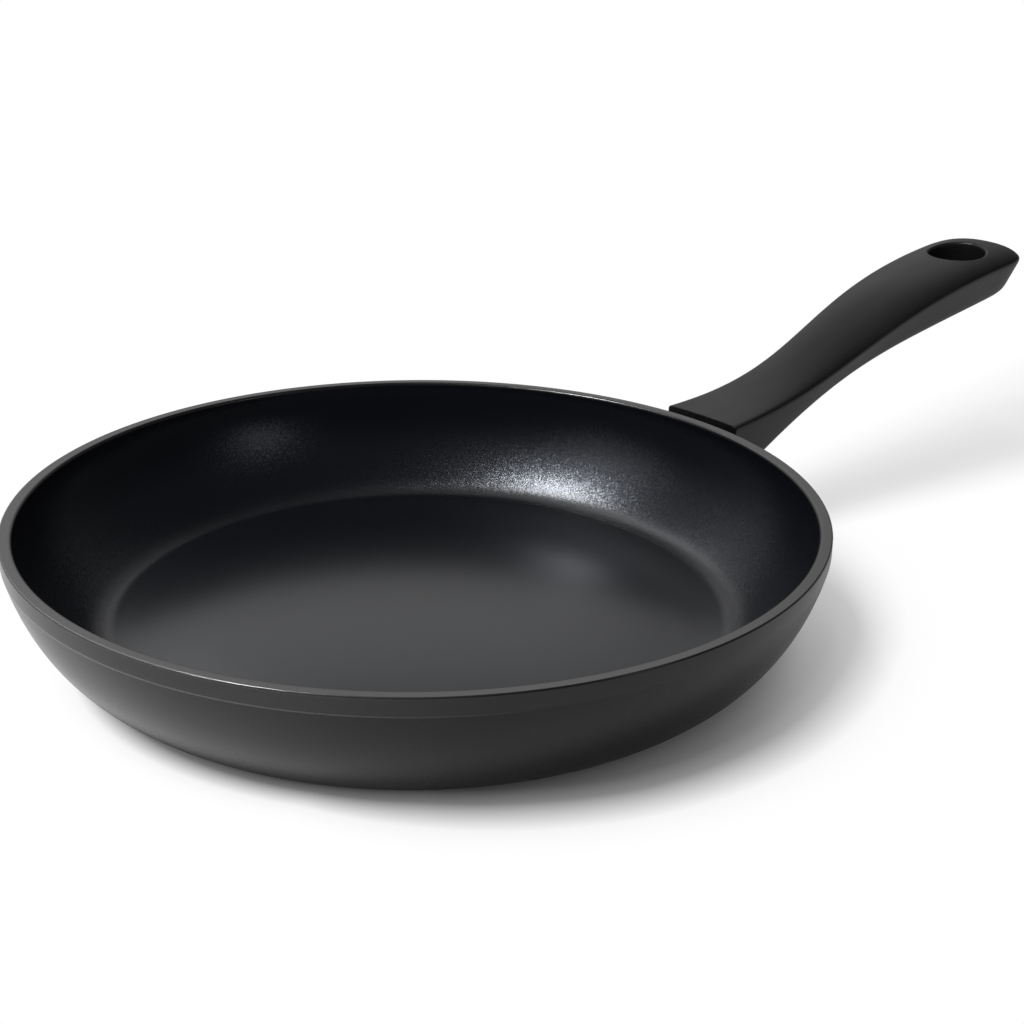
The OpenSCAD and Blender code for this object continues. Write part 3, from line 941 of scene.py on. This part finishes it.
class PAN_OT_handle(bpy.types.Operator):
    """Models the moulded handle from its sections, then cuts its socket, screw pocket and hanging hole"""

    bl_idname = "pan.handle"
    bl_label = "Moulded handle"

    # Sizes of the front face's own rings, as shares of the root section
    front_shares = 0.12, 0.45, 0.75, 0.955
    # From the root to the ring that keeps its edge crisp, and to the first ring of the stem
    edge_line, stem_start = 0.0009, 0.0045
    stem_rings = 19
    # Angles of the rings round the end, and of the rings over the hole's lip
    end_degrees = 20, 38, 54, 67, 77, 84, 88
    lip_degrees = 10, 22, 34, 46, 58, 71, 90
    # How far from the handle's top line the hole's cutters start, and how far they stand out of its faces
    cutter_distance, cutter_collar = 0.05, 0.012
    # How far inside the rim's outer edge the socket's cutter starts
    socket_lead = 0.02

    def execute(self, context):
        pan, handle, fixing, _ = settings(context)
        shape = HandleShape(pan, handle)
        chains = self.sections(shape)
        grip = first_point("moulded_handle", chains[0][0])
        draw_on(chains[0])
        for chain, following in zip(chains, chains[1:]):
            select_chain(grip, chain)
            step = following[0] - chain[0]
            bpy.ops.mesh.extrude_edges_move(TRANSFORM_OT_translate={"value": step})
            place_chain(grip, [p + step for p in chain], following)
        front_z, tip_z = ((chain[0].z + chain[-1].z) / 2 for chain in (chains[0], chains[-1]))
        for chain, pole in ((chains[0], Vector((shape.front(front_z), 0, front_z))),
                            (chains[-1], Vector((shape.tip_x, 0, tip_z)))):
            select_chain(grip, chain)
            bpy.ops.mesh.merge(type="CENTER")
            mesh = bmesh.from_edit_mesh(grip.data)
            place_chain(grip, [v.co.copy() for v in mesh.verts if v.select], [pole])
        bpy.ops.object.mode_set(mode="OBJECT")
        finish_with(grip, "MIRROR", use_axis=(False, True, False), use_clip=True, merge_threshold=1e-5)
        bpy.ops.object.mode_set(mode="EDIT")
        bpy.ops.mesh.select_all(action="SELECT")
        bpy.ops.mesh.normals_make_consistent(inside=False)
        bpy.ops.object.mode_set(mode="OBJECT")
        finish_with(grip, "SUBSURF", levels=3, render_levels=3)
        self.open_socket(grip, pan, fixing)
        self.open_hole(grip, shape)
        smooth(grip, 30)
        dress(grip, moulded_resin(handle), "handle", "handle_grip")
        return {"FINISHED"}

    def sections(self, shape):
        """Half sections of the handle: the front face's own rings, the stem's and the rounded end's."""
        root = shape.leaning_ring(shape.root_x)
        middle = (root[0].z + root[-1].z) / 2
        chains = []
        for part in self.front_shares:
            heights = [middle + (p.z - middle) * part for p in root]
            chains.append([Vector((shape.front(z), p.y * part, z)) for p, z in zip(root, heights)])
        chains.append(root)
        edge_ring = shape.leaning_ring(shape.root_x + self.edge_line)
        chains.append([Vector((p.x + self.edge_line, q.y, q.z)) for p, q in zip(root, edge_ring)])
        start = shape.root_x + self.stem_start
        for i in range(self.stem_rings):
            chains.append(shape.leaning_ring(start + (shape.bend_x - start) * i / (self.stem_rings - 1)))
        for a in map(math.radians, self.end_degrees):
            along, across = math.sin(a) ** shape.h.end_power, math.cos(a) ** shape.h.end_power
            chains.append(shape.half_ring(shape.bend_x + shape.h.end_length * along, across))
        return chains

    def open_socket(self, grip, pan, fixing):
        """Cuts the lug's socket, the screw's hole and the pocket for its washers and head."""
        gap, rim = fixing.socket_gap, pan.rim_radius
        low = pan.height - fixing.lug_drop - fixing.lug_thickness
        socket = tapered_block("socket_cutter", rim - self.socket_lead, rim + fixing.lug_length + gap,
                               fixing.lug_width + 2 * gap, fixing.lug_tip_width / fixing.lug_width,
                               low, low + fixing.lug_thickness + gap)
        bpy.ops.object.mode_set(mode="OBJECT")
        cut(grip, socket)
        centre = (rim + fixing.screw_back, 0)
        seat = low - fixing.seat
        screw_hole, pocket = fixing.screw_radius + gap, fixing.washer_radius + fixing.pocket_gap
        cut(grip, cylinder("screw_cutter", screw_hole, seat - OVERRUN, low + OVERRUN, centre, 40))
        cut(grip, cylinder("pocket_cutter", pocket, 0.0, seat, centre, 64))

    def open_hole(self, grip, shape):
        """Cuts the hanging hole with a cutter whose two lips lie on the handle's faces."""
        x = shape.tip_x - shape.h.hole_back
        centre = Vector((x, 0, shape.top(shape.along(x))))
        tilt = Quaternion((0, 1, 0), -shape.h.hole_tilt)
        axis = tilt @ Vector((0, 0, 1))
        radius, lip = shape.h.hole_radius, shape.h.hole_lip
        halves = []
        for sign in (1, -1):
            lay_aside()
            bpy.ops.mesh.primitive_circle_add(vertices=96, radius=radius + lip, rotation=tilt.to_euler(),
                                              location=centre + axis * sign * self.cutter_distance)
            half = name_piece("hole_cutter")
            finish_with(half, "SHRINKWRAP", target=grip, wrap_method="PROJECT", use_project_z=True,
                        use_negative_direction=sign > 0, use_positive_direction=sign < 0)
            bpy.ops.object.mode_set(mode="EDIT")
            bpy.ops.mesh.select_all(action="SELECT")
            wide, deep = radius + lip, 0.0
            for a in map(math.radians, self.lip_degrees):
                reach, level = radius + lip * (1 - math.sin(a)), lip * (1 - math.cos(a))
                self.extrude_along(sign * (deep - level))
                bpy.ops.transform.resize(value=(reach / wide, reach / wide, 1), center_override=centre,
                                         orient_type="LOCAL")
                wide, deep = reach, level
            pick(half, lambda co: co.xy.length > radius + lip * 0.999)
            self.extrude_along(sign * self.cutter_collar)
            bpy.ops.mesh.edge_face_add()
            bpy.ops.object.mode_set(mode="OBJECT")
            bpy.ops.object.transform_apply(location=True, rotation=True, scale=True)
            halves.append(half)
        lay_aside()
        for half in halves:
            half.select_set(True)
        tool = halves[0]
        bpy.context.view_layer.objects.active = tool
        bpy.ops.object.join()
        bpy.ops.object.mode_set(mode="EDIT")
        pick(tool, lambda co: (co - centre).cross(axis).length < radius + lip * 0.025)
        bpy.ops.mesh.bridge_edge_loops()
        bpy.ops.mesh.select_all(action="SELECT")
        bpy.ops.mesh.normals_make_consistent(inside=False)
        bpy.ops.object.mode_set(mode="OBJECT")
        cut(grip, tool)

    @staticmethod
    def extrude_along(distance):
        """Extrudes the selected ring along the cutter's own axis."""
        bpy.ops.mesh.extrude_edges_move(TRANSFORM_OT_translate={"value": (0, 0, distance),
                                                                "orient_type": "LOCAL"})


# The fixings

class PAN_OT_fixings(bpy.types.Operator):
    """Finishes the insert, the screw and its two washers"""

    bl_idname = "pan.fixings"
    bl_label = "Fixings"

    # How fine the lathe's rings on the small pieces are
    fine_rings = 1600.0

    def execute(self, context):
        pan, _, fixing, _ = settings(context)
        centre, pitch = (pan.rim_radius + fixing.screw_back, 0.0, 0.0), self.fine_rings
        plated = turned_metal("Zinc-plated steel", shade(pan.steel_colour, 1.3), centre, pitch, 0.26)
        for name in ("handle_screw", "spring_washer", "flat_washer"):
            finish_node(name, plated)
        finish_node("thread_insert", turned_metal("Turned brass", fixing.brass_colour, centre, pitch, 0.3))
        return {"FINISHED"}


# The studio

class PAN_OT_studio(bpy.types.Operator):
    """Sets up the white floor, the lamps, the white room and the camera"""

    bl_idname = "pan.studio"
    bl_label = "Studio"

    def execute(self, context):
        studio = settings(context)[3]
        scene = context.scene
        lay_aside()
        bpy.ops.mesh.primitive_plane_add(size=40, location=(0, 0, 0))
        floor = name_piece("studio_floor")
        floor.data.materials.append(studio_floor(studio))

        key, glint = (studio.key_size,) * 2, (studio.glint_size,) * 2
        strip, panel = (studio.strip_width, studio.strip_height), (studio.panel_width, studio.panel_height)
        for name, place, (wide, tall), watts, matt in (
                ("key_softbox", studio.key_place, key, studio.key_power, True),
                ("key_middle", studio.glint_place, glint, studio.glint_power, False),
                ("back_strip", studio.strip_place, strip, studio.strip_power, False),
                ("side_panel", studio.panel_place, panel, studio.panel_power, False),
                ("weak_spot", studio.spot_place, glint, studio.spot_power, False)):
            bpy.ops.object.light_add(type="AREA", location=place)
            lamp = context.object
            lamp.name = name
            lamp.rotation_mode = "QUATERNION"
            lamp.rotation_quaternion = (-Vector(place)).to_track_quat("-Z", "Y")
            lamp.data.shape, lamp.data.energy = "RECTANGLE", watts
            lamp.data.size, lamp.data.size_y = wide, tall
            lamp.visible_diffuse, lamp.visible_glossy = matt, not matt
        scene.world = white_room(studio)

        bpy.ops.object.camera_add(location=studio.camera_place)
        camera = context.object
        camera.name = "studio_camera"
        camera.rotation_mode = "QUATERNION"
        camera.rotation_quaternion = (Vector(studio.camera_aim).to_track_quat("-Z", "Y")
                                      @ Quaternion((0, 0, 1), studio.camera_roll))
        camera.data.lens, camera.data.sensor_width = studio.lens, 36.0
        camera.data.clip_start, camera.data.clip_end = 0.01, 100.0
        camera.data.dof.use_dof = False
        scene.camera = camera
        scene.view_settings.view_transform = "Standard"
        return {"FINISHED"}


class PAN_PT_sidebar(bpy.types.Panel):
    """Lists the pieces and their sizes"""

    bl_idname = "PAN_PT_sidebar"
    bl_label = "Frying Pan"
    bl_space_type = "VIEW_3D"
    bl_region_type = "UI"
    bl_category = "Frying Pan"

    def draw(self, context):
        for group, operators in (("pan_sizes", ("pan.body", "pan.lining", "pan.base")),
                                 ("handle_sizes", ("pan.handle",)),
                                 ("fixing_sizes", ("pan.fixings",)),
                                 ("studio_settings", ("pan.studio",))):
            box = self.layout.box()
            for name in operators:
                box.operator(name)
            values = getattr(context.scene, group)
            for name in values.bl_rna.properties.keys():
                if name not in ("rna_type", "name"):
                    box.prop(values, name)


GROUPS = {"pan_sizes": PanSizes, "handle_sizes": HandleSizes, "fixing_sizes": FixingSizes,
          "studio_settings": StudioSettings}
CLASSES = (*GROUPS.values(), PAN_OT_body, PAN_OT_lining, PAN_OT_base, PAN_OT_handle, PAN_OT_fixings,
           PAN_OT_studio, PAN_PT_sidebar)


def register():
    """Adds the classes and their settings."""
    for made in CLASSES:
        bpy.utils.register_class(made)
    for name, group in GROUPS.items():
        setattr(bpy.types.Scene, name, PointerProperty(type=group))


def unregister():
    """Removes the settings and the classes."""
    for name in GROUPS:
        delattr(bpy.types.Scene, name)
    for made in reversed(CLASSES):
        bpy.utils.unregister_class(made)


def main():
    """Builds every piece and the studio, in order."""
    register()
    bpy.ops.pan.body()
    bpy.ops.pan.lining()
    bpy.ops.pan.base()
    bpy.ops.pan.handle()
    bpy.ops.pan.fixings()
    bpy.ops.pan.studio()


if __name__ == "__main__":
    main()
